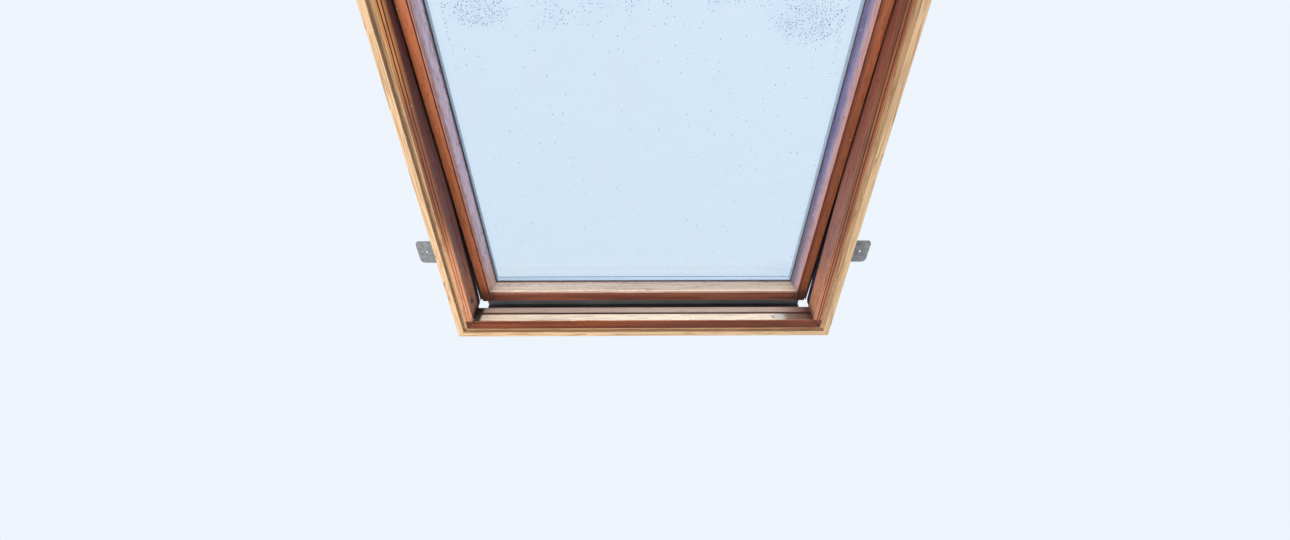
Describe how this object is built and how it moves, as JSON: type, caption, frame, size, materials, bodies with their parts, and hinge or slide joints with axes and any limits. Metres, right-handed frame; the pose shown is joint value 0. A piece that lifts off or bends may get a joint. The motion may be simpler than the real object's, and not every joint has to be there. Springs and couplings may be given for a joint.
{
  "type": "roof window",
  "caption": "Centre-pivot roof window with a timber frame and sash, sealed double glazing, folded metal cladding, a ventilation flap with a control bar and batten brackets.",
  "frame": {"origin": "centre of the four bracket screw holes, on the plane where the brackets lie on the battens", "axes": "+X to the left as seen from the room, +Y up the slope of the roof, +Z out to the sky"},
  "size_m": [1.058, 1.6073, 0.2331],
  "materials": {
    "frame_timber": "old varnished pine, brownish, satin",
    "sash_timber": "old varnished pine, worn on the bevels, satin",
    "pane_glass": "clear, clean",
    "cladding": "satin grey paint on folded aluminium",
    "seal_rubber": "matt black",
    "spacer_aluminium": "mill finish",
    "bar_aluminium": "satin anodised",
    "bar_plastic": "matt grey",
    "fitting_steel": "zinc plated",
    "pivot_steel": "zinc plated",
    "bracket_steel": "galvanised",
    "screw_steel": "zinc plated",
    "bush_plastic": "matt grey",
    "filter_foam": "open foam"
  },
  "bodies": {
    "frame": {"bottom_seal": "seal_rubber", "bracket_bottom_left": "bracket_steel", "bracket_bottom_right": "bracket_steel", "bracket_screws": "screw_steel", "bracket_top_left": "bracket_steel", "bracket_top_right": "bracket_steel", "cleaning_bush": "bush_plastic", "closing_bush": "bush_plastic", "frame_bottom_cover": "cladding", "frame_bottom_rail": "frame_timber", "frame_cover_lower_left": "cladding", "frame_cover_lower_right": "cladding", "frame_cover_screws": "screw_steel", "frame_cover_upper_left": "cladding", "frame_cover_upper_right": "cladding", "frame_left_stile": "frame_timber", "frame_right_stile": "frame_timber", "frame_top_rail": "frame_timber", "friction_washers": "bush_plastic", "lower_seal_left": "seal_rubber", "lower_seal_right": "seal_rubber", "pivot_cover_left": "cladding", "pivot_cover_right": "cladding", "pivot_housing_left": "pivot_steel", "pivot_housing_right": "pivot_steel", "strike_plate": "fitting_steel", "top_hood": "cladding", "upper_seal": "seal_rubber"},
    "sash": {"sash_left_stile": "sash_timber", "sash_right_stile": "sash_timber", "sash_bottom_rail": "sash_timber", "sash_top_rail": "sash_timber", "air_filters": "filter_foam", "inner_pane": "pane_glass", "outer_pane": "pane_glass", "spacer_bar": "spacer_aluminium", "edge_seal": "seal_rubber", "inner_gasket": "seal_rubber", "outer_gasket": "seal_rubber", "setting_blocks": "seal_rubber", "sash_cover_lower_left": "cladding", "sash_cover_lower_right": "cladding", "sash_cover_upper_left": "cladding", "sash_cover_upper_right": "cladding", "sash_top_cover": "cladding", "sash_bottom_cover": "cladding", "sash_cover_screws": "screw_steel", "pivot_arm_left": "pivot_steel", "pivot_arm_right": "pivot_steel", "flap_brackets": "fitting_steel", "lock_case": "fitting_steel", "bolt_plate": "fitting_steel"},
    "flap": {"vent_flap": "sash_timber", "control_bar": "bar_aluminium", "bar_caps": "bar_plastic", "bar_posts": "bar_plastic"},
    "latch": {"latch_tongue": "fitting_steel"},
    "bolt": {"barrel_bolt": "fitting_steel"}
  },
  "joints": [
    {"name": "sash_pivot", "type": "hinge", "parent": "frame", "child": "sash", "pos_m": [0, 0.0035, 0.04], "axis": [-1, 0, 0], "range_deg": [-4.6, 164.25]},
    {"name": "flap_hinge", "type": "hinge", "parent": "sash", "child": "flap", "pos_m": [0, 0.68785, -0.0903], "axis": [-1, 0, 0], "range_deg": [0, 50]},
    {"name": "latch_slide", "type": "slide", "parent": "sash", "child": "latch", "axis": [0, -0.9968, 0.0802], "range_m": [0, 0.012]},
    {"name": "bolt_slide", "type": "slide", "parent": "sash", "child": "bolt", "axis": [1, 0, 0], "range_m": [0, 0.013]}
  ],
  "couplings": [
    {"joint": "latch_slide", "follows": "flap_hinge", "m_per_rad": 0.0137}
  ]
}
